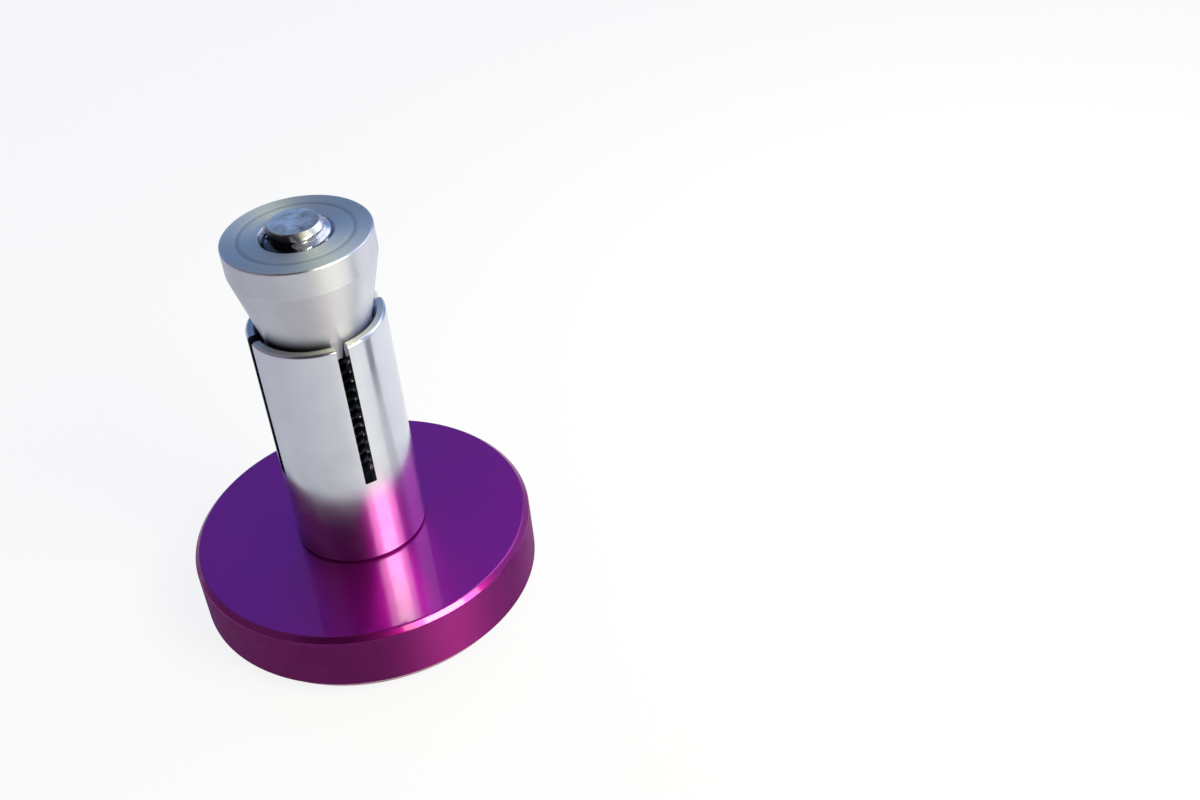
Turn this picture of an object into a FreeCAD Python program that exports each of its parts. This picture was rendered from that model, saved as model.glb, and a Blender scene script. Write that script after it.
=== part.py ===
"""Handlebar end plug: an end disc with a slotted sleeve that a taper nut spreads inside the bar.

The plug stands on its screw head at the origin. +Z runs along the axis, from the screw head to the
wide end of the taper nut, and the sleeve's slots lie in the XZ and YZ planes. All sizes are in millimetres.
"""
import FreeCAD, Part
import math
import os

AXIS = FreeCAD.Vector(0, 0, 1)
CENTRE = FreeCAD.Vector(0, 0, 0)

# Clamp screw: M6 countersunk head with a hexagon socket, drawn at its thread's outside diameter
SCREW_DIAMETER = 6.0
HEAD_DIAMETER = 12.0
HEAD_ANGLE = 90.0
HEAD_LAND = 0.3
HEAD_EDGE_ROUND = 0.2
HEX_ACROSS_FLATS = 4.0
HEX_DEPTH = 2.5
HEX_MOUTH_BEVEL = 0.25
DRILL_POINT_ANGLE = 118.0
TIP_STANDOUT = 1.1
TIP_BEVEL = 0.8

# End disc: the chamfered side is the outer face, the other side butts against the grip
DISC_DIAMETER = 32.0
DISC_THICKNESS = 6.8
FACE_CHAMFER_RADIAL = 1.0
FACE_CHAMFER_AXIAL = 1.25
GRIP_EDGE_BREAK = 0.5

# Expander sleeve: a whole foot, then fingers parted by saw slots
SLEEVE_DIAMETER = 12.2
SLEEVE_WALL = 1.25
SLEEVE_LENGTH = 23.4
SLEEVE_FOOT_LENGTH = 8.8
BORE_PAST_SLOTS = 1.0
SLOT_WIDTH = 1.1
SLOT_COUNT = 4
MOUTH_SEAT_DEPTH = 0.8
MOUTH_EDGE_BREAK = 0.15
FOOT_EDGE_BREAK = 0.1

# Expander cone: the taper nut in the fingers' mouth
CONE_DIAMETER = 13.0
CONE_LAND_LENGTH = 2.5
CONE_TAPER_ANGLE = 14.5
CONE_EDGE_BREAK = 0.12
NOSE_EDGE_BREAK = 0.2
TAPPED_HOLE_BEVEL = 0.25

# Clearances between the pieces
HEAD_SEAT_CLEARANCE = 0.08
SCREW_HOLE_CLEARANCE = 0.25
THREAD_CLEARANCE = 0.05
TAPER_SEAT_CLEARANCE = 0.08
NOSE_CLEARANCE = 0.45

# Radii and heights that follow from the sizes above
screw_radius = SCREW_DIAMETER / 2
head_radius = HEAD_DIAMETER / 2
disc_radius = DISC_DIAMETER / 2
sleeve_radius = SLEEVE_DIAMETER / 2
cone_radius = CONE_DIAMETER / 2
screw_hole_radius = screw_radius + SCREW_HOLE_CLEARANCE
tapped_hole_radius = screw_radius + THREAD_CLEARANCE
bore_radius = sleeve_radius - SLEEVE_WALL
nose_radius = bore_radius - NOSE_CLEARANCE

head_slope = math.tan(math.radians(HEAD_ANGLE / 2))
head_cone_depth = (head_radius - screw_radius) / head_slope
drill_slope = math.tan(math.radians(DRILL_POINT_ANGLE / 2))
taper_angle = math.radians(CONE_TAPER_ANGLE)
taper_slope = math.tan(taper_angle)

outer_face = HEAD_LAND
grip_face = outer_face + DISC_THICKNESS
sleeve_mouth = grip_face + SLEEVE_LENGTH
slot_floor = grip_face + SLEEVE_FOOT_LENGTH
bore_floor = slot_floor - BORE_PAST_SLOTS

# The taper meets the fingers' seat, so the sleeve's mouth sets how far the nut goes in
seat_radius = bore_radius + MOUTH_SEAT_DEPTH * taper_slope
taper_at_mouth = seat_radius - TAPER_SEAT_CLEARANCE / math.cos(taper_angle)
land_start = sleeve_mouth + (cone_radius - taper_at_mouth) / taper_slope
cone_top = land_start + CONE_LAND_LENGTH
nose_end = land_start - (cone_radius - nose_radius) / taper_slope
screw_tip = cone_top + TIP_STANDOUT


def turned(outline):
    """Revolve a closed (radius, height) outline about the plug's axis."""
    points = [FreeCAD.Vector(radius, 0, height) for radius, height in outline]
    section = Part.Face(Part.makePolygon(points + points[:1]))
    return section.revolve(CENTRE, AXIS, 360)


def end_disc():
    """The disc with its big chamfer, the grip side's edge break and the countersunk hole."""
    sink_radius = head_radius + HEAD_SEAT_CLEARANCE / math.cos(math.radians(HEAD_ANGLE / 2))
    sink_depth = (sink_radius - screw_hole_radius) / head_slope
    return turned([
        (sink_radius, outer_face),
        (disc_radius - FACE_CHAMFER_RADIAL, outer_face),
        (disc_radius, outer_face + FACE_CHAMFER_AXIAL),
        (disc_radius, grip_face - GRIP_EDGE_BREAK),
        (disc_radius - GRIP_EDGE_BREAK, grip_face),
        (screw_hole_radius, grip_face),
        (screw_hole_radius, outer_face + sink_depth),
    ])


def saw_slot(turn):
    """One saw cut, from the axis out through the wall, down to the floor of the slots."""
    reach = sleeve_radius + SLOT_WIDTH
    height = sleeve_mouth - slot_floor + SLOT_WIDTH
    cut = Part.makeBox(reach, SLOT_WIDTH, height, FreeCAD.Vector(0, -SLOT_WIDTH / 2, slot_floor))
    cut.rotate(CENTRE, AXIS, turn)
    return cut


def expander_sleeve():
    """The sleeve: foot with the screw's hole, drilled bore, tapered seat in its mouth, and the slots."""
    drill_point = (bore_radius - screw_hole_radius) / drill_slope
    body = turned([
        (screw_hole_radius, grip_face),
        (sleeve_radius - FOOT_EDGE_BREAK, grip_face),
        (sleeve_radius, grip_face + FOOT_EDGE_BREAK),
        (sleeve_radius, sleeve_mouth - MOUTH_EDGE_BREAK),
        (sleeve_radius - MOUTH_EDGE_BREAK, sleeve_mouth),
        (seat_radius, sleeve_mouth),
        (bore_radius, sleeve_mouth - MOUTH_SEAT_DEPTH),
        (bore_radius, bore_floor),
        (screw_hole_radius, bore_floor - drill_point),
    ])
    slots = [saw_slot(360 * number / SLOT_COUNT) for number in range(SLOT_COUNT)]
    return body.cut(slots)


def expander_cone():
    """The taper nut: straight land, taper, and a through hole for the screw, bevelled at both ends."""
    mouth_radius = tapped_hole_radius + TAPPED_HOLE_BEVEL
    return turned([
        (mouth_radius, nose_end),
        (nose_radius - NOSE_EDGE_BREAK, nose_end),
        (nose_radius + NOSE_EDGE_BREAK * taper_slope, nose_end + NOSE_EDGE_BREAK),
        (cone_radius, land_start),
        (cone_radius, cone_top - CONE_EDGE_BREAK),
        (cone_radius - CONE_EDGE_BREAK, cone_top),
        (mouth_radius, cone_top),
        (tapped_hole_radius, cone_top - TAPPED_HOLE_BEVEL),
        (tapped_hole_radius, nose_end + TAPPED_HOLE_BEVEL),
    ])


def hex_socket():
    """The key's hexagon with a drilled floor and a bevelled mouth, as one cutter."""
    corner_radius = HEX_ACROSS_FLATS / 2 / math.cos(math.radians(30))
    corners = []
    for number in range(6):
        turn = math.radians(60 * number)
        corners.append(FreeCAD.Vector(corner_radius * math.cos(turn), corner_radius * math.sin(turn), 0))
    hexagon = Part.Face(Part.makePolygon(corners + corners[:1])).extrude(AXIS * HEX_DEPTH)
    drill_radius = HEX_ACROSS_FLATS / 2
    drilled = turned([
        (0, 0),
        (drill_radius, 0),
        (drill_radius, HEX_DEPTH),
        (0, HEX_DEPTH + drill_radius / drill_slope),
    ])
    mouth = turned([
        (0, 0),
        (corner_radius + HEX_MOUTH_BEVEL, 0),
        (corner_radius, HEX_MOUTH_BEVEL),
        (0, HEX_MOUTH_BEVEL),
    ])
    return hexagon.fuse([drilled, mouth])


def clamp_screw():
    """The screw: rounded head edge, short land, countersunk cone, shank and bevelled tip."""
    rim = [
        FreeCAD.Vector(head_radius - HEAD_EDGE_ROUND, 0, 0),
        FreeCAD.Vector(
            head_radius - HEAD_EDGE_ROUND * (1 - math.sin(math.radians(45))),
            0,
            HEAD_EDGE_ROUND * (1 - math.cos(math.radians(45))),
        ),
        FreeCAD.Vector(head_radius, 0, HEAD_EDGE_ROUND),
    ]
    straight = [
        rim[2],
        FreeCAD.Vector(head_radius, 0, HEAD_LAND),
        FreeCAD.Vector(screw_radius, 0, HEAD_LAND + head_cone_depth),
        FreeCAD.Vector(screw_radius, 0, screw_tip - TIP_BEVEL),
        FreeCAD.Vector(screw_radius - TIP_BEVEL, 0, screw_tip),
        FreeCAD.Vector(0, 0, screw_tip),
        CENTRE,
        rim[0],
    ]
    edges = [Part.Arc(*rim).toShape()] + Part.makePolygon(straight).Edges
    blank = Part.Face(Part.Wire(edges)).revolve(CENTRE, AXIS, 360)
    return blank.cut(hex_socket())


PIECES = {
    "end_disc": end_disc,
    "expander_sleeve": expander_sleeve,
    "expander_cone": expander_cone,
    "clamp_screw": clamp_screw,
}

os.makedirs("parts", exist_ok=True)
for name, make in PIECES.items():
    shape = make()
    shape.exportStep(f"parts/{name}.step")
    print(f"{name}: {len(shape.Solids)} solid, {shape.Volume:.1f} mm3, valid {shape.isValid()}")
print(f"sleeve mouth {sleeve_mouth:.3f}, nose {nose_end:.3f}, land {land_start:.3f}")
print(f"cone top {cone_top:.3f}, screw tip {screw_tip:.3f}")
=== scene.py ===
# %% [markdown]
# # A handlebar end plug, dressed in Blender
# The plug closes the open end of a handlebar. A purple anodised disc butts against the grip, a bright sleeve
# with sawn fingers goes into the bar, and a screw through both pulls a taper nut into the fingers, which
# spread and grip. The solids come packed as a fixed frame in metres, with +Z along the plug's axis. This
# lesson builds a finer mesh over each solid, gives each its metal, and lights it. Every size that the frame
# holds is read from it.

# %% Load the frame
import math

import bmesh
import bpy
import numpy as np
from mathutils import Euler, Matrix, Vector


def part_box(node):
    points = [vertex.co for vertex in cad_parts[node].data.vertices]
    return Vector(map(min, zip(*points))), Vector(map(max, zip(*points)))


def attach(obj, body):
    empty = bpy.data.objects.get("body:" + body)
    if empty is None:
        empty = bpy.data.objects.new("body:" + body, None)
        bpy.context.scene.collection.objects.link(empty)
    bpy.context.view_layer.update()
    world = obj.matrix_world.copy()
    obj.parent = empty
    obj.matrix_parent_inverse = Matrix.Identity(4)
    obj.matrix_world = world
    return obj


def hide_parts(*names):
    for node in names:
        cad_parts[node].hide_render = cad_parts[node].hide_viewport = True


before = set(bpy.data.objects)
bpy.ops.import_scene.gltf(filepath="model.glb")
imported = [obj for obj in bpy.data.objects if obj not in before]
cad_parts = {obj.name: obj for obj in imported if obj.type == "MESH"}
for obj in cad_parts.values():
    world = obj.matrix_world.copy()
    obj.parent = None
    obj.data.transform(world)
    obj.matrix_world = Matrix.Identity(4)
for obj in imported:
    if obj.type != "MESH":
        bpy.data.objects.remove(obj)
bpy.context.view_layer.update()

# %% [markdown]
# ## Sizes
# A turned part is known by a few radii and heights. The box of each solid gives the big ones. The small
# ones, such as chamfers, are what a maker writes on the drawing, so they are named in millimetres where they
# are first needed, and turned into metres there.

# %% Read the sizes
MM = 0.001


def radius_and_span(node):
    """Outer radius, lowest height and highest height of a solid that is round about +Z."""
    low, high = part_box(node)
    return (high.x - low.x) / 2, low.z, high.z


disc_radius, outer_face, grip_face = radius_and_span("end_disc")
sleeve_radius, sleeve_foot, sleeve_mouth = radius_and_span("expander_sleeve")
cone_radius, nose_end, cone_top = radius_and_span("expander_cone")
head_radius, head_face, screw_tip = radius_and_span("clamp_screw")
print("disc radius", disc_radius, "mouth", sleeve_mouth, "cone top", cone_top, "tip", screw_tip)

# %% [markdown]
# ## Turning on a lathe
# All four pieces were turned, so one helper stands for the lathe. It takes rows of radius and height and
# joins them round the axis. A row may hold one value per spoke, and that is how a hexagon gets into a round
# piece. A Screw modifier on a profile would turn plain rows as well, but not those.

# %% Lathe helpers
SPOKES = 192
SHARP_ANGLE = math.radians(38)
MERGE_DISTANCE = 1e-7


def show(name, data):
    """A new object in the scene, at the origin."""
    made = bpy.data.objects.new(name, data)
    bpy.context.scene.collection.objects.link(made)
    return made


def lathe(name, rows, spokes=SPOKES, closed=True):
    """Object whose mesh joins the rows round +Z; closed joins the last row to the first."""
    turn = np.arange(spokes) * 2 * math.pi / spokes
    rings = []
    for radius, height in rows:
        ring = np.empty((spokes, 3))
        ring[:, 0] = radius * np.cos(turn)
        ring[:, 1] = radius * np.sin(turn)
        ring[:, 2] = height
        rings.append(ring)
    faces = []
    spoke = np.arange(spokes)
    after = (spoke + 1) % spokes
    for row in range(len(rows) if closed else len(rows) - 1):
        here = row * spokes
        there = (row + 1) % len(rows) * spokes
        faces.append(np.stack([here + spoke, here + after, there + after, there + spoke], 1))
    mesh = bpy.data.meshes.new(name)
    mesh.from_pydata(np.concatenate(rings).tolist(), [], np.concatenate(faces).tolist())
    return show(name, mesh)


def merge_poles(piece):
    """Join the points that meet on the axis, so that the ends are closed."""
    cleaned = bmesh.new()
    cleaned.from_mesh(piece.data)
    bmesh.ops.remove_doubles(cleaned, verts=cleaned.verts, dist=MERGE_DISTANCE)
    cleaned.to_mesh(piece.data)
    cleaned.free()


def shade(piece):
    """Smooth shading, broken only where two faces meet at a real corner."""
    piece.data.shade_smooth()
    piece.data.set_sharp_from_angle(angle=SHARP_ANGLE)
    print(piece.name, len(piece.data.polygons), "faces")


print("one spoke every", 360 / SPOKES, "degrees")

# %% [markdown]
# A real edge is never razor sharp, so the next helper eases each corner of an outline with a small curve. It
# also leaves a support point on each side of the curve, because smooth shading would otherwise bend the
# flats near it. A Bevel modifier could round the finished mesh, but easing the outline keeps clean rings.

# %% Ease the corners
CORNER_ROOM = 0.3
SUPPORT_REACH = 1.5
CURVE_STEPS = 3
POINTS_PER_CORNER = CURVE_STEPS + 3


def eased_corner(before, corner, after, ease):
    """Support point, curve and support point in place of one corner."""
    back = before - corner
    ahead = after - corner
    reach = min(ease, CORNER_ROOM * min(np.linalg.norm(back), np.linalg.norm(ahead)))
    start = corner + back / np.linalg.norm(back) * reach
    end = corner + ahead / np.linalg.norm(ahead) * reach
    made = [corner + (start - corner) * SUPPORT_REACH]
    for step in range(CURVE_STEPS + 1):
        share = step / CURVE_STEPS
        made.append((1 - share) ** 2 * start + 2 * share * (1 - share) * corner + share ** 2 * end)
    return made + [corner + (end - corner) * SUPPORT_REACH]


def eased(outline, ease, closed=True):
    """Round the corners of a (radius, height) outline; an open one keeps its two end points."""
    points = [np.array(point, float) for point in outline]
    made = []
    for number, corner in enumerate(points):
        if not closed and number in (0, len(points) - 1):
            made.append(corner)
        else:
            made += eased_corner(points[number - 1], corner, points[(number + 1) % len(points)], ease)
    return [tuple(point) for point in made]


print("each corner becomes", POINTS_PER_CORNER, "points")

# %% [markdown]
# ## Nodes
# Materials and Geometry Nodes are both trees of nodes. Short helpers keep the trees readable: they start a
# material, add a node and fill its sockets. A value that is itself a socket gets linked.

# %% Add nodes


def fill(tree, node, sockets):
    """Set or link a node's sockets, which go by name, or by number as i0, i1, i2."""
    for key, value in sockets.items():
        numbered = key[0] == "i" and key[1:].isdigit()
        socket = node.inputs[int(key[1:])] if numbered else node.inputs[key]
        if isinstance(value, bpy.types.NodeSocket):
            tree.links.new(value, socket)
        else:
            socket.default_value = value


def add(tree, kind, settings=None, **sockets):
    """Add a node; settings are its own properties."""
    node = tree.nodes.new(kind)
    for key, value in (settings or {}).items():
        setattr(node, key, value)
    fill(tree, node, sockets)
    return node


def math_node(tree, operation, *values):
    """A Math node's output, for values that are numbers or sockets."""
    sockets = {f"i{number}": value for number, value in enumerate(values)}
    return add(tree, "ShaderNodeMath", {"operation": operation}, **sockets).outputs[0]


def tinted(tree, share, below, colour):
    """A colour laid over another by this share; the lower one is a colour or a socket."""
    return add(tree, "ShaderNodeMix", {"data_type": "RGBA"}, i0=share, i6=below, i7=colour).outputs[2]


def new_material(name):
    """A material, its tree and its shader."""
    material = bpy.data.materials.new(name)
    material.use_nodes = True
    return material, material.node_tree, material.node_tree.nodes["Principled BSDF"]


# %% [markdown]
# A Geometry Nodes tree has a named input for each size, so a change is one number. These helpers start a
# tree, end it with real meshes and their material, and bake its result into a plain mesh, because an export
# drops live trees.

# %% Geometry Nodes helpers


def geometry_tree(name, counts, sizes):
    """A tree with a mesh and a material in, a mesh out, and named inputs for counts and sizes."""
    tree = bpy.data.node_groups.new(name, "GeometryNodeTree")
    inputs = [("Mesh", "NodeSocketGeometry"), ("Material", "NodeSocketMaterial")]
    inputs += [(label, "NodeSocketInt") for label in counts]
    inputs += [(label, "NodeSocketFloat") for label in sizes]
    for label, kind in inputs:
        tree.interface.new_socket(label, in_out="INPUT", socket_type=kind)
    tree.interface.new_socket("Mesh", in_out="OUTPUT", socket_type="NodeSocketGeometry")
    print("tree", name, "takes", ", ".join(label for label, kind in inputs))
    return tree, tree.nodes.new("NodeGroupInput"), tree.nodes.new("NodeGroupOutput")


def close_tree(tree, geometry, material, group_out):
    """End a tree as the export needs it: real meshes with their material."""
    real = add(tree, "GeometryNodeRealizeInstances", Geometry=geometry)
    painted = add(tree, "GeometryNodeSetMaterial", Geometry=real.outputs[0], Material=material)
    tree.links.new(painted.outputs[0], group_out.inputs[0])


def bake(piece, tree, values):
    """Run a tree on a piece with these input values, and keep the result as its plain mesh."""
    modifier = piece.modifiers.new(tree.name, "NODES")
    modifier.node_group = tree
    for item in tree.interface.items_tree:
        if item.in_out == "INPUT" and item.name in values:
            modifier[item.identifier] = values[item.name]
    graph = bpy.context.evaluated_depsgraph_get()
    made = bpy.data.meshes.new_from_object(piece.evaluated_get(graph), depsgraph=graph)
    piece.modifiers.clear()
    piece.data = made
    made.name = piece.name


# %% [markdown]
# ## The metals
# Turning leaves fine rings: circles on a face, lines round a wall. Radius plus height is one coordinate that
# counts both, so a one-dimensional noise on it draws the rings everywhere. Such rings also stretch a
# reflection across them, and the shader's anisotropy does that: the tangent runs round the axis, and a
# quarter turn points it across. A brushed texture would do on a flat plate, but it can't follow a lathe.

# %% Metal helpers
ACROSS_RINGS = 0.25
NOISE_BAND = (0.3, 0.7)


def ring_coordinate(tree):
    """Radius plus height of the shaded point in metres, and the point itself."""
    place = add(tree, "ShaderNodeTexCoord").outputs["Object"]
    flat = add(tree, "ShaderNodeVectorMath", {"operation": "MULTIPLY"}, i0=place, i1=(1, 1, 0)).outputs[0]
    radius = add(tree, "ShaderNodeVectorMath", {"operation": "LENGTH"}, i0=flat).outputs["Value"]
    height = add(tree, "ShaderNodeSeparateXYZ", i0=place).outputs["Z"]
    return math_node(tree, "ADD", radius, height), place


def blend_of(tree, first, second, share):
    """Two noise values mixed, with this share of the second."""
    return add(tree, "ShaderNodeMix", i0=share, i2=first, i3=second).outputs[0]


def new_metal(name, anisotropy):
    """A metal material, its tree and its shader, with the tangent running round the axis."""
    material, tree, shader = new_material(name)
    around = add(tree, "ShaderNodeTangent", {"direction_type": "RADIAL", "axis": "Z"}).outputs[0]
    fill(tree, shader, {
        "Metallic": 1.0,
        "Anisotropic": anisotropy,
        "Anisotropic Rotation": ACROSS_RINGS,
        "Tangent": around,
    })
    print("metal", name)
    return material, tree, shader


def paint_metal(tree, shader, pattern, relief, colours, roughness, spread, depth, band=NOISE_BAND):
    """Colour and polish from one pattern, and a fine relief from another."""
    share = add(tree, "ShaderNodeMapRange", i0=pattern, i1=band[0], i2=band[1]).outputs[0]
    polish = add(tree, "ShaderNodeMapRange", i0=pattern, i1=NOISE_BAND[0], i2=NOISE_BAND[1],
                 i3=roughness + spread, i4=roughness - spread).outputs[0]
    bump = add(tree, "ShaderNodeBump", Height=relief, Strength=1.0, Distance=depth).outputs[0]
    fill(tree, shader, {
        "Base Color": tinted(tree, share, (*colours[0], 1), (*colours[1], 1)),
        "Roughness": polish,
        "Normal": bump,
    })


# %% [markdown]
# Two kinds of metal come from these helpers. A turned one has its rings, and clouds where the polish and the
# colour drift a little, as they do on any handled part. A sheared one was cut off and never machined, so it
# is mottled, with torn grains in place of rings.

# %% Turned and sheared metal
RING_DETAIL = 4.0
CLOUDS_PER_MM = 0.35
CLOUD_DETAIL = 3.0
GRAIN_DETAIL = 4.0
GRAIN_DISTORTION = 0.5
PATCH_SHARE = 0.5
PATCHES_PER_GRAIN = 0.3
PATCH_DETAIL = 2.0
TORN_BAND = (0.4, 0.62)


def turned_metal(name, colours, roughness, spread, rings_per_mm, ring_share, depth, anisotropy):
    """Metal with turning rings, and with clouds of slightly different polish and colour."""
    material, tree, shader = new_metal(name, anisotropy)
    rings, place = ring_coordinate(tree)
    count = math_node(tree, "MULTIPLY", rings, rings_per_mm / MM)
    lines = add(tree, "ShaderNodeTexNoise", {"noise_dimensions": "1D"}, W=count, Scale=1.0,
                Detail=RING_DETAIL).outputs[0]
    clouds = add(tree, "ShaderNodeTexNoise", Vector=place, Scale=CLOUDS_PER_MM / MM,
                 Detail=CLOUD_DETAIL).outputs[0]
    pattern = blend_of(tree, clouds, lines, ring_share)
    paint_metal(tree, shader, pattern, lines, colours, roughness, spread, depth)
    return material


def sheared_metal(name, colours, roughness, spread, grains_per_mm, depth):
    """Metal that was sheared off and not machined: mottled, with torn grains."""
    material, tree, shader = new_metal(name, 0.0)
    place = ring_coordinate(tree)[1]
    grains = add(tree, "ShaderNodeTexNoise", Vector=place, Scale=grains_per_mm / MM, Detail=GRAIN_DETAIL,
                 Distortion=GRAIN_DISTORTION).outputs[0]
    patches = add(tree, "ShaderNodeTexNoise", Vector=place, Scale=PATCHES_PER_GRAIN * grains_per_mm / MM,
                  Detail=PATCH_DETAIL).outputs[0]
    pattern = blend_of(tree, grains, patches, PATCH_SHARE)
    paint_metal(tree, shader, pattern, pattern, colours, roughness, spread, depth, TORN_BAND)
    return material


# %% [markdown]
# Anodising grows a clear oxide on the aluminium and dyes it. The metal under the dye reflects in purple, and
# the top of the oxide adds a thin colourless gloss, so the brightest streaks turn pale. A coat on the shader
# stands for it. The flat face, the rim and the narrow edge were cut differently, so each has its own
# roughness;
# the rim and the edge also get darker purples than the face, which is painted shade on the upright and
# sloped faces.

# %% Purple anodising
OXIDE_ROUGHNESS = 0.08
OXIDE_IOR = 1.5
GRAZING_TINT = (0.8, 0.55, 0.75, 1)


def anodised(name, gloss, **finish):
    """Dyed turned metal under a clear oxide skin; finish is what turned_metal takes."""
    material = turned_metal(name, **finish)
    tree = material.node_tree
    fill(tree, tree.nodes["Principled BSDF"], {
        "Coat Weight": gloss,
        "Coat Roughness": OXIDE_ROUGHNESS,
        "Coat IOR": OXIDE_IOR,
        "Specular Tint": GRAZING_TINT,
    })
    return material


anodised_face = anodised(
    "anodised_face", gloss=0.58, colours=((0.27, 0.002, 0.223), (0.295, 0.003, 0.245)), roughness=0.39,
    spread=0.03, rings_per_mm=14, ring_share=0.3, depth=0.0003 * MM, anisotropy=0.1)
# The rim and the edge are darker purples than the face: painted shade on the upright and sloped faces.
anodised_rim = anodised(
    "anodised_rim", gloss=0.08, colours=((0.14, 0.009, 0.125), (0.185, 0.012, 0.163)), roughness=0.5,
    spread=0.03, rings_per_mm=10, ring_share=0.6, depth=0.0004 * MM, anisotropy=0.9)
anodised_edge = anodised(
    "anodised_edge", gloss=0.55, colours=((0.19, 0.003, 0.16), (0.21, 0.004, 0.18)), roughness=0.3,
    spread=0.03, rings_per_mm=10, ring_share=0.3, depth=0.0003 * MM, anisotropy=0.1)

# %% [markdown]
# Grease stays wherever a cloth doesn't reach, and shade is painted into the same grooves and gaps. Every
# point of a piece can hold a number for both, its groove attribute, and the bare metals share one rule: the
# higher the number, the darker the colour. A noise would be less work, but it doesn't know where the grooves
# are.

# %% Grease helpers
# This dark colour stands for grease and for painted shade.
GREASE_AND_SHADE = (0.03, 0.026, 0.022, 1)
DARKENING_FROM = 0.2
DARKENING_FULL = 0.9


def darken_by_grease_and_shade(material):
    """Darken the metal towards the colour of grease and painted shade where the groove attribute is high."""
    tree = material.node_tree
    shader = tree.nodes["Principled BSDF"]
    clean = shader.inputs["Base Color"].links[0].from_socket
    groove = add(tree, "ShaderNodeAttribute", {"attribute_name": "groove"}).outputs["Fac"]
    share = add(tree, "ShaderNodeMapRange", i0=groove, i1=DARKENING_FROM, i2=DARKENING_FULL).outputs[0]
    fill(tree, shader, {"Base Color": tinted(tree, share, clean, GREASE_AND_SHADE)})


def set_grease_and_shade(piece, level_at):
    """Set the grease and painted shade at each point from its place and from what the thread cutter left
    there.
    """
    if "groove" not in piece.data.attributes:
        piece.data.attributes.new("groove", "FLOAT", "POINT")
    greased = piece.data.attributes["groove"].data
    for point in piece.data.vertices:
        here = greased[point.index]
        here.value = level_at(point.co, here.value)
    print(piece.name, sum(here.value > DARKENING_FROM for here in greased), "greased points")


# %% [markdown]
# The sleeve is bright turned aluminium, the nut a satin one, and the screw stainless steel. Faces that a
# tool cut straight across are rougher, and the screw's end was sheared. All but that one come from the same
# function with other numbers, so they look like one family.

# %% Bare aluminium and steel
bright_sleeve = turned_metal(
    "bright_sleeve", colours=((0.478, 0.499, 0.63), (0.528, 0.551, 0.69)), roughness=0.18,
    spread=0.05, rings_per_mm=8, ring_share=0.3, depth=0.0002 * MM, anisotropy=0.45)
satin_cone = turned_metal(
    "satin_cone", colours=((0.475, 0.487, 0.595), (0.535, 0.547, 0.668)), roughness=0.32,
    spread=0.03, rings_per_mm=8, ring_share=0.5, depth=0.0003 * MM, anisotropy=0.82)
faced_end = turned_metal(
    "faced_end", colours=((0.41, 0.435, 0.44), (0.49, 0.515, 0.52)), roughness=0.54,
    spread=0.05, rings_per_mm=6, ring_share=0.6, depth=0.002 * MM, anisotropy=0.6)
stainless_screw = turned_metal(
    "stainless_screw", colours=((0.45, 0.46, 0.52), (0.53, 0.54, 0.61)), roughness=0.24,
    spread=0.05, rings_per_mm=5, ring_share=0.4, depth=0.0005 * MM, anisotropy=0.2)
sheared_end = sheared_metal(
    "sheared_end", colours=((0.19, 0.19, 0.18), (0.72, 0.7, 0.68)), roughness=0.42,
    spread=0.1, grains_per_mm=0.9, depth=0.18 * MM)
for metal in (bright_sleeve, satin_cone, faced_end, stainless_screw, sheared_end):
    darken_by_grease_and_shade(metal)

# %% [markdown]
# ## End disc
# The disc has a wide chamfer round its outer face and a small edge break on the grip side. Its rim was
# turned with a pointed tool, which left fine grooves that catch the light. A bump could fake them, but they
# are part of the outline here, one wave per groove, so they are real in the mesh as well.

# %% Groove the rim
GROOVE_PITCH = 0.3 * MM
GROOVE_DEPTH = 0.012 * MM
GROOVE_STEPS = 6


def grooved_wall(radius, low, high):
    """Outline points up a wall, with one shallow wave for each turn of the tool."""
    turns = round((high - low) / GROOVE_PITCH)
    heights = np.linspace(low, high, turns * GROOVE_STEPS + 1)
    waves = 0.5 - 0.5 * np.cos(2 * math.pi * turns * (heights - low) / (high - low))
    print(turns, "grooves on the rim")
    return [(radius - GROOVE_DEPTH * wave, height) for wave, height in zip(waves, heights)]


# %% [markdown]
# One mesh carries the disc's three finishes. The slope of a face says which one it gets: the rim stands
# upright, the chamfers slope, and the rest lies flat. The grooved stretch goes into the outline after the
# three corners below it.

# %% Turn the end disc
FACE_CHAMFER_RADIAL = 1.0 * MM
FACE_CHAMFER_AXIAL = 1.25 * MM
GRIP_EDGE_BREAK = 0.5 * MM
SINK_CLEARANCE = 0.113 * MM
SCREW_HOLE_RADIUS = 3.25 * MM
DISC_EASE = 0.09 * MM
CORNERS_BELOW_WALL = 3
RIM_SLOPE = 0.3
FLAT_SLOPE = 0.96


def dress_faces(piece, material, chosen):
    """Give another material to the faces whose middle and normal pass the test."""
    piece.data.materials.append(material)
    number = len(piece.data.materials) - 1
    for face in piece.data.polygons:
        if chosen(face.center, face.normal):
            face.material_index = number


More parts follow.
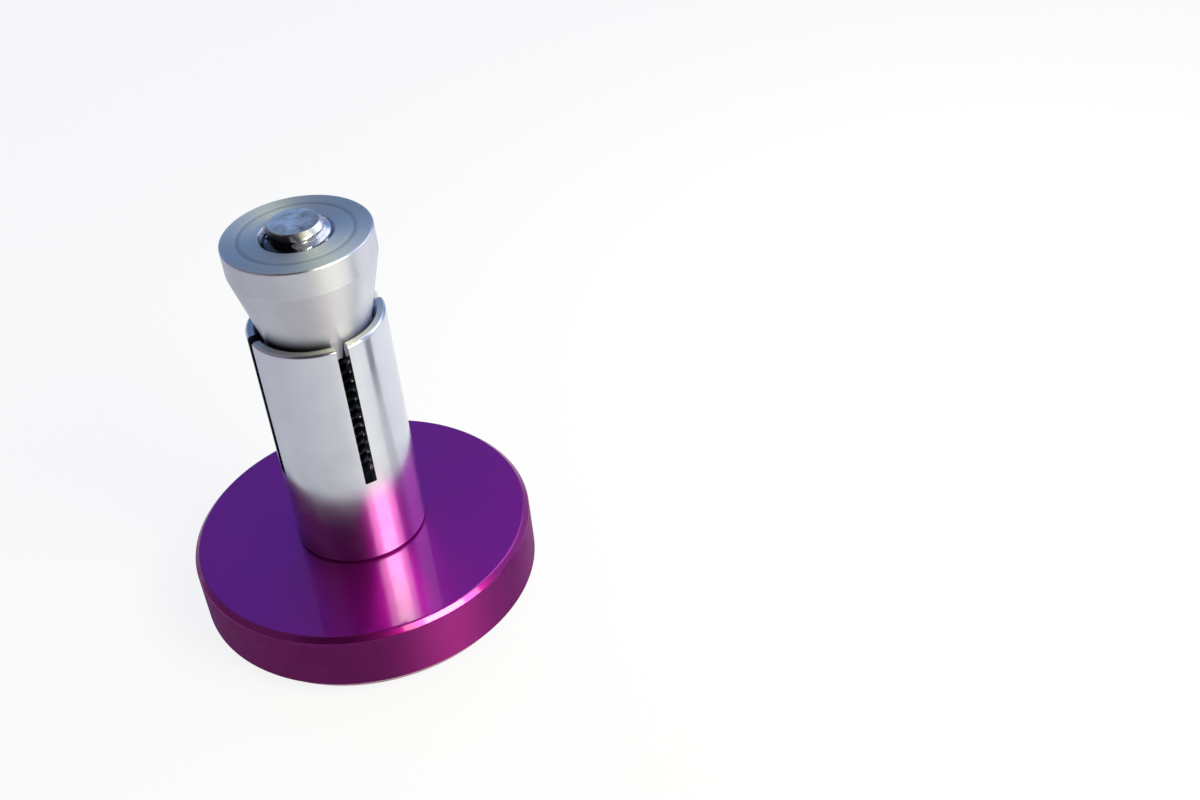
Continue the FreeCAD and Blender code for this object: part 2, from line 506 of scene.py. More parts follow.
def make_end_disc():
    """Chamfered disc with a countersunk hole, grooved on its rim."""
    sink_radius = head_radius + SINK_CLEARANCE
    sink_floor = outer_face + sink_radius - SCREW_HOLE_RADIUS
    wall_low = outer_face + FACE_CHAMFER_AXIAL
    wall_high = grip_face - GRIP_EDGE_BREAK
    outline = eased([
        (sink_radius, outer_face),
        (disc_radius - FACE_CHAMFER_RADIAL, outer_face),
        (disc_radius, wall_low),
        (disc_radius, wall_high),
        (disc_radius - GRIP_EDGE_BREAK, grip_face),
        (SCREW_HOLE_RADIUS, grip_face),
        (SCREW_HOLE_RADIUS, sink_floor),
    ], DISC_EASE)
    margin = 2 * DISC_EASE
    wall = grooved_wall(disc_radius, wall_low + margin, wall_high - margin)
    split = CORNERS_BELOW_WALL * POINTS_PER_CORNER
    piece = lathe("end_disc_turned", outline[:split] + wall + outline[split:])
    piece.data.materials.append(anodised_face)
    # The rim and the chamfers get the darker purples, painted shade picked by slope.
    dress_faces(piece, anodised_rim, lambda middle, normal: abs(normal.z) < RIM_SLOPE)
    dress_faces(piece, anodised_edge, lambda middle, normal: RIM_SLOPE <= abs(normal.z) < FLAT_SLOPE)
    shade(piece)
    return piece


end_disc = make_end_disc()

# %% [markdown]
# ## Expander sleeve
# The sleeve is a tube with a closed foot, drilled for the screw and bored wider above. The mouth has a small
# lead-in that the nut finds its way into, and a fine edge break outside. Two extra rows on the foot's wall
# give the painted shade there something to end on. A Screw modifier could turn it too, but without the eased
# corners.

# %% Turn the tube
SLEEVE_WALL = 1.25 * MM
SLEEVE_FOOT_LENGTH = 8.8 * MM
BORE_PAST_SLOTS = 1.0 * MM
MOUTH_SEAT_DEPTH = 0.8 * MM
MOUTH_SEAT_WIDTH = 0.207 * MM
LEAD_IN_WIDTH = 0.3 * MM
LEAD_IN_DEPTH = 0.3 * MM
MOUTH_EDGE_BREAK = 0.2 * MM
FOOT_EDGE_BREAK = 0.25 * MM
FOOT_LINE_HEIGHT = 0.5 * MM
FOOT_SHADE_HEIGHT = 4.5 * MM
DRILL_POINT = 0.96 * MM
SLEEVE_EASE = 0.06 * MM

slot_floor = grip_face + SLEEVE_FOOT_LENGTH
bore_radius = sleeve_radius - SLEEVE_WALL
print("slots start at", slot_floor, "and the bore's radius is", bore_radius)


def make_tube():
    """The sleeve before sawing."""
    bore_floor = slot_floor - BORE_PAST_SLOTS
    return lathe("expander_sleeve_sawn", eased([
        (SCREW_HOLE_RADIUS, sleeve_foot),
        (sleeve_radius - FOOT_EDGE_BREAK, sleeve_foot),
        (sleeve_radius, sleeve_foot + FOOT_EDGE_BREAK),
        (sleeve_radius, sleeve_foot + FOOT_LINE_HEIGHT),
        (sleeve_radius, sleeve_foot + FOOT_SHADE_HEIGHT),
        (sleeve_radius, sleeve_mouth - MOUTH_EDGE_BREAK),
        (sleeve_radius - MOUTH_EDGE_BREAK, sleeve_mouth),
        (bore_radius + MOUTH_SEAT_WIDTH + LEAD_IN_WIDTH, sleeve_mouth),
        (bore_radius + MOUTH_SEAT_WIDTH, sleeve_mouth - LEAD_IN_DEPTH),
        (bore_radius, sleeve_mouth - MOUTH_SEAT_DEPTH),
        (bore_radius, bore_floor),
        (SCREW_HOLE_RADIUS, bore_floor - DRILL_POINT),
    ], SLEEVE_EASE))


# %% [markdown]
# A slitting saw parts the tube into four fingers, so the slots have parallel walls and a flat floor. A
# Geometry Nodes tree stands one cutter on each of a ring of points and takes them all away at once. Boolean
# modifiers with one cutter each would do it too, but here changing the count or the width is one number.

# %% Saw tree


def saw_tree():
    """Cutters on a ring of points, taken out of the incoming mesh."""
    sizes = ["Slot Width", "Slot Floor", "Slot Length", "Cut From", "Cut Reach"]
    tree, given, result = geometry_tree("saw_slots", ["Slot Count"], sizes)
    count = given.outputs["Slot Count"]
    reach = given.outputs["Cut Reach"]
    length = given.outputs["Slot Length"]
    size = add(tree, "ShaderNodeCombineXYZ", X=reach, Y=given.outputs["Slot Width"], Z=length).outputs[0]
    blade = add(tree, "GeometryNodeMeshCube", Size=size).outputs[0]
    middle = math_node(tree, "ADD", given.outputs["Cut From"], math_node(tree, "MULTIPLY", reach, 0.5))
    lift = math_node(tree, "ADD", given.outputs["Slot Floor"], math_node(tree, "MULTIPLY", length, 0.5))
    shift = add(tree, "ShaderNodeCombineXYZ", X=middle, Z=lift).outputs[0]
    placed = add(tree, "GeometryNodeTransform", Geometry=blade, Translation=shift).outputs[0]
    stations = add(tree, "GeometryNodePoints", Count=count).outputs[0]
    share = math_node(tree, "DIVIDE", tree.nodes.new("GeometryNodeInputIndex").outputs[0], count)
    angle = math_node(tree, "MULTIPLY", share, 2 * math.pi)
    turn = add(tree, "ShaderNodeCombineXYZ", Z=angle).outputs[0]
    blades = add(tree, "GeometryNodeInstanceOnPoints", Points=stations, Instance=placed, Rotation=turn)
    cutters = add(tree, "GeometryNodeRealizeInstances", Geometry=blades.outputs[0]).outputs[0]
    sawn = add(tree, "GeometryNodeMeshBoolean", {"operation": "DIFFERENCE", "solver": "EXACT"})
    tree.links.new(given.outputs["Mesh"], sawn.inputs["Mesh 1"])
    tree.links.new(cutters, sawn.inputs["Mesh 2"])
    close_tree(tree, sawn.outputs[0], given.outputs["Material"], result)
    return tree


# %% [markdown]
# The mouth is darker, most on one side: partly old grease that has come out, partly painted shade. Round
# the foot, on one side, the sleeve is painted darker as shade where it stands on the disc. Each is a rule on
# direction and height. Painting it by hand would be quicker to try, but a rule still fits when a size
# changes.

# %% Dirt on the sleeve
# The mouth's darkening is old grease and painted shade, strongest on one side.
MOUTH_DARKENING = 0.75
MOUTH_SHADE_TURN = math.radians(-160)
MOUTH_SHADE_FOCUS = 2
# The foot's darkening is painted shade where the sleeve stands on the disc.
FOOT_SHADE = 0.68
FOOT_SHADE_TURN = math.radians(-178)
FOOT_SHADE_FOCUS = 3


def mouth_grease_and_shade(place):
    """How dark the mouth is in the direction of this place: grease and painted shade."""
    facing = 0.5 + 0.5 * math.cos(math.atan2(place.y, place.x) - MOUTH_SHADE_TURN)
    return MOUTH_DARKENING * facing ** MOUTH_SHADE_FOCUS


def foot_shade(place):
    """Painted shade round the foot on one side, thinning out up the wall."""
    facing = max(0.0, math.cos(math.atan2(place.y, place.x) - FOOT_SHADE_TURN))
    above = place.z - sleeve_foot - FOOT_LINE_HEIGHT
    thinned = 1 - above / (FOOT_SHADE_HEIGHT - FOOT_LINE_HEIGHT)
    return FOOT_SHADE * facing ** FOOT_SHADE_FOCUS * min(1.0, max(0.0, thinned))


def sleeve_grease_and_shade(place, held):
    """Painted shade at the foot, and grease and painted shade at the mouth, most of it on one side."""
    seat_edge = bore_radius + MOUTH_SEAT_WIDTH + LEAD_IN_WIDTH + SLEEVE_EASE
    inside = place.xy.length < seat_edge and place.z > sleeve_mouth - 2 * MOUTH_SEAT_DEPTH
    return max(held, mouth_grease_and_shade(place) if inside else foot_shade(place))


# %% [markdown]
# Now the tube is turned, sawn, and darkened with grease and painted shade. The cutters start inside the bore
# and end past the wall, so that they leave no thin skin, and the mouth's end faces get the rougher finish
# that facing leaves.

# %% Saw the slots
SLOT_WIDTH = 1.1 * MM
SLOT_COUNT = 4
CUT_FROM_SHARE = 0.4
SLOT_FLOOR_MARGIN = 1.0 * MM
FACING_UP = 0.9


def make_sleeve():
    """The tube with its slots sawn, and its mouth faced."""
    piece = make_tube()
    bake(piece, saw_tree(), {
        "Slot Count": SLOT_COUNT,
        "Slot Width": SLOT_WIDTH,
        "Slot Floor": slot_floor,
        "Slot Length": sleeve_mouth - slot_floor + SLOT_WIDTH,
        "Cut From": CUT_FROM_SHARE * bore_radius,
        "Cut Reach": sleeve_radius,
        "Material": bright_sleeve,
    })
    set_grease_and_shade(piece, sleeve_grease_and_shade)
    above = slot_floor + SLOT_FLOOR_MARGIN
    dress_faces(piece, faced_end, lambda middle, normal: normal.z > FACING_UP and middle.z > above)
    shade(piece)
    return piece


expander_sleeve = make_sleeve()

# %% [markdown]
# ## Threads
# A thread is a groove that climbs one pitch for each turn. Seen from the axis, a point's height in pitches
# less its angle in turns says where in the groove it lies, and that phase is the same along the whole helix.
# The tree below uses it to pull the points of a plain shank in, or those of a plain hole out, and notes how
# deep each went, for the darkening in the roots: grease and painted shade. Sweeping a profile along a helix
# is the usual way, but it leaves the end of the thread open.

# %% Thread tree


def thread_tree():
    """Pull points marked by the thread attribute to the groove's radius at their phase."""
    sizes = ["Pitch", "Low Radius", "High Radius", "Low Phase", "High Phase", "Inside", "Start Turn"]
    tree, given, result = geometry_tree("cut_thread", [], sizes)
    low = given.outputs["Low Radius"]
    high = given.outputs["High Radius"]
    place = tree.nodes.new("GeometryNodeInputPosition").outputs[0]
    x, y, z = add(tree, "ShaderNodeSeparateXYZ", i0=place).outputs
    flat = add(tree, "ShaderNodeCombineXYZ", X=x, Y=y).outputs[0]
    radius = add(tree, "ShaderNodeVectorMath", {"operation": "LENGTH"}, i0=flat).outputs["Value"]
    turns = math_node(tree, "DIVIDE", math_node(tree, "ARCTAN2", y, x), 2 * math.pi)
    turns = math_node(tree, "SUBTRACT", turns, given.outputs["Start Turn"])
    climb = math_node(tree, "DIVIDE", z, given.outputs["Pitch"])
    phase = math_node(tree, "FRACT", math_node(tree, "SUBTRACT", climb, turns))
    centred = math_node(tree, "SUBTRACT", math_node(tree, "MULTIPLY", phase, 2.0), 1.0)
    ridge = math_node(tree, "ABSOLUTE", centred)
    groove = add(tree, "ShaderNodeMapRange", i0=ridge, i1=given.outputs["Low Phase"],
                 i2=given.outputs["High Phase"], i3=low, i4=high).outputs[0]
    shank = math_node(tree, "MINIMUM", radius, groove)
    hole = math_node(tree, "MAXIMUM", radius, groove)
    cut = add(tree, "ShaderNodeMix", i0=given.outputs["Inside"], i2=shank, i3=hole).outputs[0]
    mark = add(tree, "GeometryNodeInputNamedAttribute", {"data_type": "FLOAT"}, Name="thread").outputs[0]
    final = add(tree, "ShaderNodeMix", i0=mark, i2=radius, i3=cut).outputs[0]
    scale = math_node(tree, "DIVIDE", final, radius)
    moved = add(tree, "ShaderNodeCombineXYZ", X=math_node(tree, "MULTIPLY", x, scale),
                Y=math_node(tree, "MULTIPLY", y, scale), Z=z).outputs[0]
    depth = math_node(tree, "ABSOLUTE", math_node(tree, "SUBTRACT", final, radius))
    share = math_node(tree, "DIVIDE", depth, math_node(tree, "SUBTRACT", high, low))
    # How deep a point went sets its darkening: grease and painted shade in the roots.
    stored = add(tree, "GeometryNodeStoreNamedAttribute", {"data_type": "FLOAT", "domain": "POINT"},
                 Geometry=given.outputs["Mesh"], Name="groove", Value=share).outputs[0]
    threaded = add(tree, "GeometryNodeSetPosition", Geometry=stored, Position=moved).outputs[0]
    close_tree(tree, threaded, given.outputs["Material"], result)
    return tree


cut_thread = thread_tree()

# %% [markdown]
# The screw and the nut share the tree, the pitch and the place where the thread starts, so their threads
# stay in mesh when the joint turns. Only the radii and the width of the flats differ.

# %% Cut a thread
THREAD_PITCH = 1.0 * MM
ROWS_PER_PITCH = 12
THREAD_START = 0.007
OUTSIDE = 0.0
INSIDE = 1.0


def thread_rows(start, end):
    """Heights from start to end, dense enough to show the thread."""
    rows = round(abs(end - start) / THREAD_PITCH * ROWS_PER_PITCH)
    return np.linspace(start, end, rows + 1)


def cut_thread_in(piece, weight_of, low_radius, high_radius, phases, side, material):
    """Mark how deep each point of a piece may go, by its radius and height, and cut its thread."""
    attribute = piece.data.attributes.new("thread", "FLOAT", "POINT")
    weights = [weight_of(math.hypot(point.co.x, point.co.y), point.co.z) for point in piece.data.vertices]
    attribute.data.foreach_set("value", weights)
    bake(piece, cut_thread, {
        "Pitch": THREAD_PITCH,
        "Low Radius": low_radius,
        "High Radius": high_radius,
        "Low Phase": phases[0],
        "High Phase": phases[1],
        "Inside": side,
        "Start Turn": THREAD_START,
        "Material": material,
    })
    print(piece.name, sum(weight > 0 for weight in weights), "points on the thread")


# %% [markdown]
# At the screw's tip the thread starts gradually, which leaves a gap on one side. The gap and the nut's bevel
# beside it are painted darker: partly old grease, partly painted shade. One function says how much of the
# gap lies in a given direction, and both pieces use it.

# %% Gap before the thread
GAP_FROM = math.radians(-220)
GAP_TO = math.radians(-103)
GAP_FADE = math.radians(20)
# The gap's darkening is old grease and painted shade.
GAP_DARKENING = 0.85


def gap_share(angle):
    """1 in the gap before the thread starts, fading to 0 at its two ends."""
    beyond = np.mod(angle - GAP_FROM, 2 * math.pi)
    return np.clip(np.minimum(beyond, GAP_TO - GAP_FROM - beyond) / GAP_FADE, 0, 1)


def gap_grease_and_shade(place):
    """How dark the gap makes this direction: grease and painted shade."""
    return GAP_DARKENING * float(gap_share(math.atan2(place.y, place.x)))


print("gap of", round(math.degrees(GAP_TO - GAP_FROM)), "degrees before the thread")

# %% [markdown]
# ## Expander cone
# The taper nut has a short straight land at its wide end, a long taper below it and a tapped hole. Its end
# face was faced off on the lathe, and the tool left one shallow ring a little inside the edge. A few extra
# rows on the taper, level with the sleeve's mouth, give the grease and painted shade there something to end
# on.

# %% Outline of the nut
CONE_LAND = 2.5 * MM
NOSE_RADIUS = 4.4 * MM
CONE_EDGE_BREAK = 0.12 * MM
NOSE_EDGE_BREAK = 0.2 * MM
TAPER_SLOPE = 0.25
HOLE_MOUTH_RADIUS = 3.3 * MM
NUT_CREST_RADIUS = 2.5 * MM
TOOL_RING_RADIUS = 4.95 * MM
TOOL_RING_WIDTH = 0.42 * MM
TOOL_RING_DEPTH = 0.05 * MM
SEAT_DARK_REACH = 0.45 * MM
CONE_EASE = 0.05 * MM


def nut_outside():
    """Rows from the nose's hole up the taper and over the end face, with its tool ring."""
    taper_start = (NOSE_RADIUS + TAPER_SLOPE * NOSE_EDGE_BREAK, nose_end + NOSE_EDGE_BREAK)
    taper_end = (cone_radius, cone_top - CONE_LAND)
    seat_rows = []
    for above in (-0.5 * SEAT_DARK_REACH, 0.0, SEAT_DARK_REACH):
        share = (sleeve_mouth + above - taper_start[1]) / (taper_end[1] - taper_start[1])
        seat_rows.append((taper_start[0] + share * (taper_end[0] - taper_start[0]), sleeve_mouth + above))
    return eased([
        (HOLE_MOUTH_RADIUS, nose_end),
        (NOSE_RADIUS - NOSE_EDGE_BREAK, nose_end),
        taper_start,
        *seat_rows,
        taper_end,
        (cone_radius, cone_top - CONE_EDGE_BREAK),
        (cone_radius - CONE_EDGE_BREAK, cone_top),
        (TOOL_RING_RADIUS + TOOL_RING_WIDTH, cone_top),
        (TOOL_RING_RADIUS, cone_top - TOOL_RING_DEPTH),
        (TOOL_RING_RADIUS - TOOL_RING_WIDTH, cone_top),
        (HOLE_MOUTH_RADIUS, cone_top),
    ], CONE_EASE, closed=False)


def nut_hole():
    """Rows down the hole, which is bevelled at both ends."""
    rows = []
    for height in thread_rows(cone_top, nose_end)[1:-1]:
        bevel = HOLE_MOUTH_RADIUS - min(cone_top - height, height - nose_end)
        rows.append((max(NUT_CREST_RADIUS, bevel), height))
    return rows


nut_rows = nut_outside() + nut_hole()
print("the nut has", len(nut_rows), "rows")

# %% [markdown]
# The nut is turned from these rows, and its hole is tapped. The tool ring is drawn darker, and the hole's
# bevel beside the gap and the taper where the fingers' mouth bears are darker with grease and painted shade.
# Each of these places follows from the sizes, so a rule on radius and height finds it, and nothing is
# painted by hand.

# %% Turn the taper nut
NUT_ROOT_RADIUS = 3.03 * MM
NUT_PHASES = (0.19, 0.815)
HOLE_BEVEL = HOLE_MOUTH_RADIUS - NUT_CREST_RADIUS
HOLE_MARGIN = 0.01 * MM
# The tool ring is simply drawn darker.
RING_DARKENING = 0.4

cone_face_level = cone_top - 2 * TOOL_RING_DEPTH


def in_hole(radius, height):
    """1 for points inside the hole's mouth, where the tap cuts."""
    return float(radius < HOLE_MOUTH_RADIUS - HOLE_MARGIN)


def cone_darkening(place, held):
    """Grease and painted shade on the hole's bevel by the gap and where the fingers bear; the tool ring
    darker.
    """
    radius = place.xy.length
    if in_hole(radius, place.z) and place.z > cone_top - HOLE_BEVEL:
        return max(held, gap_grease_and_shade(place))
    if place.z > cone_face_level:
        return RING_DARKENING if abs(radius - TOOL_RING_RADIUS) < 0.5 * TOOL_RING_WIDTH else held
    if radius > NOSE_RADIUS - 2 * NOSE_EDGE_BREAK:
        above = place.z - sleeve_mouth
        return mouth_grease_and_shade(place) * min(1.0, max(0.0, 1 - above / SEAT_DARK_REACH))
    return held


def make_cone():
    """The nut with its hole tapped and its end faced."""
    piece = lathe("expander_cone_threaded", nut_rows)
    cut_thread_in(piece, in_hole, NUT_CREST_RADIUS, NUT_ROOT_RADIUS, NUT_PHASES, INSIDE, satin_cone)
    set_grease_and_shade(piece, cone_darkening)
    dress_faces(piece, faced_end, lambda middle, normal: normal.z > FACING_UP and middle.z > cone_face_level)
    shade(piece)
    return piece


expander_cone = make_cone()

# %% [markdown]
# ## Clamp screw
# The countersunk screw is one lathe piece as well. For the hexagon, each spoke gets its own radius: the
# distance from the axis to the key's flat in that direction. The bevel round the socket is a cone, so where
# it meets the flats it leaves the scallops that every such screw shows. A Boolean with a six-sided prism
# would cut the socket too, but it would leave long thin faces on the head.

# %% Hexagon socket
SCREW_SPOKES = 96
HEX_HALF_FLATS = 2.0 * MM
HEX_DEPTH = 2.5 * MM
HEX_MOUTH_RADIUS = 2.44 * MM
HEX_POINT = 1.2 * MM
HEX_FLOOR_EASE = 0.04 * MM
HEX_BEVEL_EASE = 0.02 * MM
DRILLED_SHARE = 0.98
HEX_FLOOR_SHARE = 0.985

screw_turns = np.arange(SCREW_SPOKES) * 2 * math.pi / SCREW_SPOKES


def socket_rows():
    """Rows from the drill point along the six flats to the bevel at the head's face."""
    from_flat = np.mod(screw_turns, math.pi / 3) - math.pi / 6
    hexagon = HEX_HALF_FLATS / np.cos(from_flat)
    bevel_foot = HEX_MOUTH_RADIUS - hexagon
    return [
        (0.0, HEX_DEPTH + HEX_POINT),
        (HEX_HALF_FLATS * DRILLED_SHARE, HEX_DEPTH),
        (hexagon * HEX_FLOOR_SHARE, HEX_DEPTH),
        (hexagon, HEX_DEPTH - HEX_FLOOR_EASE),
        (hexagon, HEX_DEPTH * 0.5),
        (hexagon, bevel_foot + HEX_BEVEL_EASE),
        (hexagon + HEX_BEVEL_EASE, bevel_foot - HEX_BEVEL_EASE),
    ]


print("socket for a key of", 2 * HEX_HALF_FLATS / MM, "mm")

# %% [markdown]
# The head has a short straight land and a cone under it. The shank's rows lie close together, so that the
# thread has points to move. The thread runs from the tip to well below the nut, and the gap before it is a
# dip in the radius of those spokes.

# %% Head and shank
SCREW_CREST_RADIUS = 2.95 * MM
HEAD_LAND = 0.3 * MM
HEAD_EDGE_ROUND = 0.2 * MM
TIP_BEVEL = 0.8 * MM
THREAD_LENGTH = 24.0 * MM
RUN_OUT = 2.0 * MM
GAP_HEIGHT = 1.6 * MM
GAP_RADIUS = 2.25 * MM
END_SHARES = (0.96, 0.6, 0.3, 0.0)

thread_foot = screw_tip - THREAD_LENGTH - RUN_OUT
end_radius = SCREW_CREST_RADIUS - TIP_BEVEL


def head_rows():
    """Rows from the socket's mouth over the head to where the thread runs out."""
    return eased([
        (HEX_MOUTH_RADIUS, head_face),
        (head_radius, head_face),
        (head_radius, HEAD_LAND),
        (SCREW_CREST_RADIUS, HEAD_LAND + head_radius - SCREW_CREST_RADIUS),
        (SCREW_CREST_RADIUS, thread_foot),
    ], HEAD_EDGE_ROUND, closed=False)


def shank_rows():
    """Close rows up the shank, with the bevel and the gap at the tip, and the end face."""
    rows = []
    for height in thread_rows(thread_foot, screw_tip)[1:]:
        radius = min(SCREW_CREST_RADIUS, end_radius + screw_tip - height)
        depth = max(0.0, radius - GAP_RADIUS) if height > screw_tip - GAP_HEIGHT else 0.0
        rows.append((radius - depth * gap_share(screw_turns), height))
    return rows + [(share * end_radius, screw_tip) for share in END_SHARES]


screw_rows = socket_rows() + head_rows() + shank_rows()
print("the screw has", len(screw_rows), "rows")

# %% [markdown]
# The screw is turned, threaded and darkened in its grooves with grease and painted shade. At the tip most of
# that darkening is left off, except in the gap. The end was sheared, and it stayed rough.

# %% Turn the screw
SCREW_ROOT_RADIUS = 2.39 * MM
SCREW_PHASES = (0.25, 0.875)
END_MARGIN = 0.001 * MM
END_DEPTH = 0.6 * MM
WIPED_LENGTH = 3.0 * MM
WIPED_SHARE = 0.25

end_level = screw_tip - END_DEPTH


def thread_weight(radius, height):
    """Full depth along the thread, fading out at its foot, and none on the head or the end face."""
    if height > screw_tip - END_MARGIN or height < thread_foot:
        return 0.0
    return min(1.0, (height - thread_foot) / RUN_OUT)


def tip_darkening(place, held):
    """Grease and painted shade in and under the gap; round the rest of the tip most of it is left off."""
    if place.z < screw_tip - WIPED_LENGTH or place.z > screw_tip - END_MARGIN:
        return held
    return max(WIPED_SHARE * held, gap_grease_and_shade(place))


def make_screw():
    """Socket, head, threaded shank and bevelled tip in one piece, sheared at its end."""
    piece = lathe("clamp_screw_threaded", screw_rows, SCREW_SPOKES, closed=False)
    merge_poles(piece)
    cut_thread_in(piece, thread_weight, SCREW_ROOT_RADIUS, SCREW_CREST_RADIUS, SCREW_PHASES, OUTSIDE,
                  stainless_screw)
    set_grease_and_shade(piece, tip_darkening)
    dress_faces(piece, sheared_end, lambda middle, normal: normal.z > FACING_UP and middle.z > end_level)
    shade(piece)
    return piece


clamp_screw = make_screw()

# %% [markdown]
# ## Riding the frame
# Each mesh stands for its solid and moves with the body that carries it, so the nut climbs when the screw
# turns. The disc and the sleeve are held together by the screw, and share one body.

# %% Ride the bodies
for piece, node, body, slot in (
    (end_disc, "end_disc", "disc_and_sleeve", "anodised_purple"),
    (expander_sleeve, "expander_sleeve", "disc_and_sleeve", "bright_aluminium"),
    (expander_cone, "expander_cone", "cone", "satin_aluminium"),
    (clamp_screw, "clamp_screw", "screw", "stainless_steel"),
):
    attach(piece, body)
    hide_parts(node)
    print(piece.name, "rides", body)

# %% [markdown]
# ## Floor
# The plug stands on a white table top. The floor shows plain white to most camera rays and to some mirrored
# ones, and keeps a share of real shading for the rest, so that a soft shadow stays and the metal has a floor
# to mirror. A plain bright floor would be simpler, but it would be grey wherever the lamps don't reach.

# %% Floor
FLOOR_SIZE = 3.0
FLOOR_GAP = 0.02 * MM
FLOOR_COLOUR = (0.74, 0.74, 0.75, 1)
FLOOR_ROUGHNESS = 0.36
FLOOR_WHITE = (0.985, 0.987, 1, 1)
WHITE_STRENGTH = 0.985
WHITE_SEEN = 0.9
WHITE_MIRRORED = 0.3


def white_share(tree):
    """How much plain white the floor shows: most to the camera, some in reflections, none to other light."""
    path = add(tree, "ShaderNodeLightPath").outputs
    seen = math_node(tree, "MULTIPLY", path["Is Camera Ray"], WHITE_SEEN)
    bounced = math_node(tree, "MAXIMUM", path["Is Glossy Ray"], path["Is Transmission Ray"])
    return math_node(tree, "MAXIMUM", seen, math_node(tree, "MULTIPLY", bounced, WHITE_MIRRORED))


def floor_material():
    """Satin white that lets a share of plain white through."""
    material, tree, top = new_material("white_floor")
    fill(tree, top, {"Base Color": FLOOR_COLOUR, "Roughness": FLOOR_ROUGHNESS})
    white = add(tree, "ShaderNodeEmission", Color=FLOOR_WHITE, Strength=WHITE_STRENGTH).outputs[0]
    mixed = add(tree, "ShaderNodeMixShader", i0=white_share(tree), i1=top.outputs[0], i2=white).outputs[0]
    tree.links.new(mixed, tree.nodes["Material Output"].inputs["Surface"])
    return material


def stage_sheet(name, corners, faces, material):
    """A thin sheet that dresses the set and isn't part of the plug."""
    mesh = bpy.data.meshes.new(name)
    mesh.from_pydata(corners, [], faces)
    mesh.materials.append(material)
    sheet = show(name, mesh)
    return sheet


half = FLOOR_SIZE / 2
level = head_face - FLOOR_GAP
floor_corners = [(-half, -half, level), (half, -half, level), (half, half, level), (-half, half, level)]
stage_sheet("floor", floor_corners, [(0, 1, 2, 3)], floor_material())
print("floor at", level)

# %% [markdown]
# ## Camera
# The place, the turn and the lens were worked out from the plug's own circles: a disc of known size, seen as
# an ellipse, fixes where the camera stood. Moving it by eye would take longer and never be quite right.

# %% Camera
CAMERA_PLACE = Vector((-28.965, -111.2, 102.251)) * MM
CAMERA_TURN = Euler([math.radians(angle) for angle in (53.138, 4.667, -30.04)])
CAMERA_LENS = 46.083
SENSOR_WIDTH = 36.0
CLIP_START = 5.0 * MM

camera = show("camera", bpy.data.cameras.new("camera"))
camera.location = CAMERA_PLACE
camera.rotation_euler = CAMERA_TURN
camera.data.lens = CAMERA_LENS
camera.data.sensor_width = SENSOR_WIDTH
camera.data.clip_start = CLIP_START
bpy.context.scene.camera = camera
print("camera", CAMERA_PLACE.length, "from the plug")

# %% [markdown]
# ## Lamps
# One small warm lamp draws the pale streak on the disc and the sleeve, and a larger, softer one at the same
# place blurs the streak's edges. A lamp at the side draws the fainter streak. The last one looks straight
# down on the table at the right through a grid, and brightens only what the metal mirrors. One large soft
# box would be simpler, but it draws no streaks.

# %% Lamps
VIEW_AZIMUTH = math.atan2(CAMERA_PLACE.x, -CAMERA_PLACE.y)
LAMP_ELEVATION = math.radians(42)
KEY_TURN = math.radians(40)
KEY_DISTANCE = 0.28
KEY_SIZE = (0.105, 0.045)
KEY_POWER = 0.5
KEY_COLOUR = (1.0, 0.96, 0.58)
GLOW_SIZE = (0.21, 0.09)
GLOW_POWER = 0.62
SIDE_TURN = math.radians(115)
SIDE_DISTANCE = 0.2
SIDE_SIZE = (0.14, 0.105)
SIDE_POWER = 0.072
SIDE_COLOUR = (1.0, 0.97, 0.9)
TABLE_TURN = math.radians(112)
TABLE_REACH = 0.08
TABLE_HEIGHT = 0.12
TABLE_SIZE = (0.06, 0.06)
TABLE_POWER = 0.027
TABLE_SPREAD = math.radians(80)


def direction_of(turn, elevation):
    """Unit vector this far to the right of the camera and this high."""
    azimuth = VIEW_AZIMUTH + turn
    flat = math.cos(elevation)
    return Vector((math.sin(azimuth) * flat, -math.cos(azimuth) * flat, math.sin(elevation)))


def make_lamp(name, place, aim, size, power, colour, spread=math.pi):
    """A soft box that faces a point; a smaller spread is a grid that narrows its beam."""
    lamp = bpy.data.lights.new(name, "AREA")
    lamp.shape = "RECTANGLE"
    lamp.size = size[0]
    lamp.size_y = size[1]
    lamp.energy = power
    lamp.color = colour
    lamp.spread = spread
    lamp_object = show(name, lamp)
    lamp_object.location = place
    lamp_object.rotation_euler = (place - aim).to_track_quat("Z", "Y").to_euler()
    lamp_object.visible_camera = False
    print(name, "of", power, "watts")


foot = Vector((0, 0, 0))
key_place = direction_of(KEY_TURN, LAMP_ELEVATION) * KEY_DISTANCE
side_place = direction_of(SIDE_TURN, LAMP_ELEVATION) * SIDE_DISTANCE
table_spot = direction_of(TABLE_TURN, 0) * TABLE_REACH
table_place = table_spot + Vector((0, 0, TABLE_HEIGHT))
make_lamp("key_lamp", key_place, foot, KEY_SIZE, KEY_POWER, KEY_COLOUR)
make_lamp("key_glow", key_place, foot, GLOW_SIZE, GLOW_POWER, KEY_COLOUR)
make_lamp("side_lamp", side_place, foot, SIDE_SIZE, SIDE_POWER, SIDE_COLOUR)
make_lamp("table_lamp", table_place, table_spot, TABLE_SIZE, TABLE_POWER, SIDE_COLOUR, TABLE_SPREAD)

# %% [markdown]
# ## World
# Bare metal looks like what it mirrors, so the world is a simple room: bluish behind, warm grey on the
# camera's side, pale on the right and white at the horizon, with a dark patch beside the camera. A picture
# of a room would do as well, but these few directions can each be tuned.

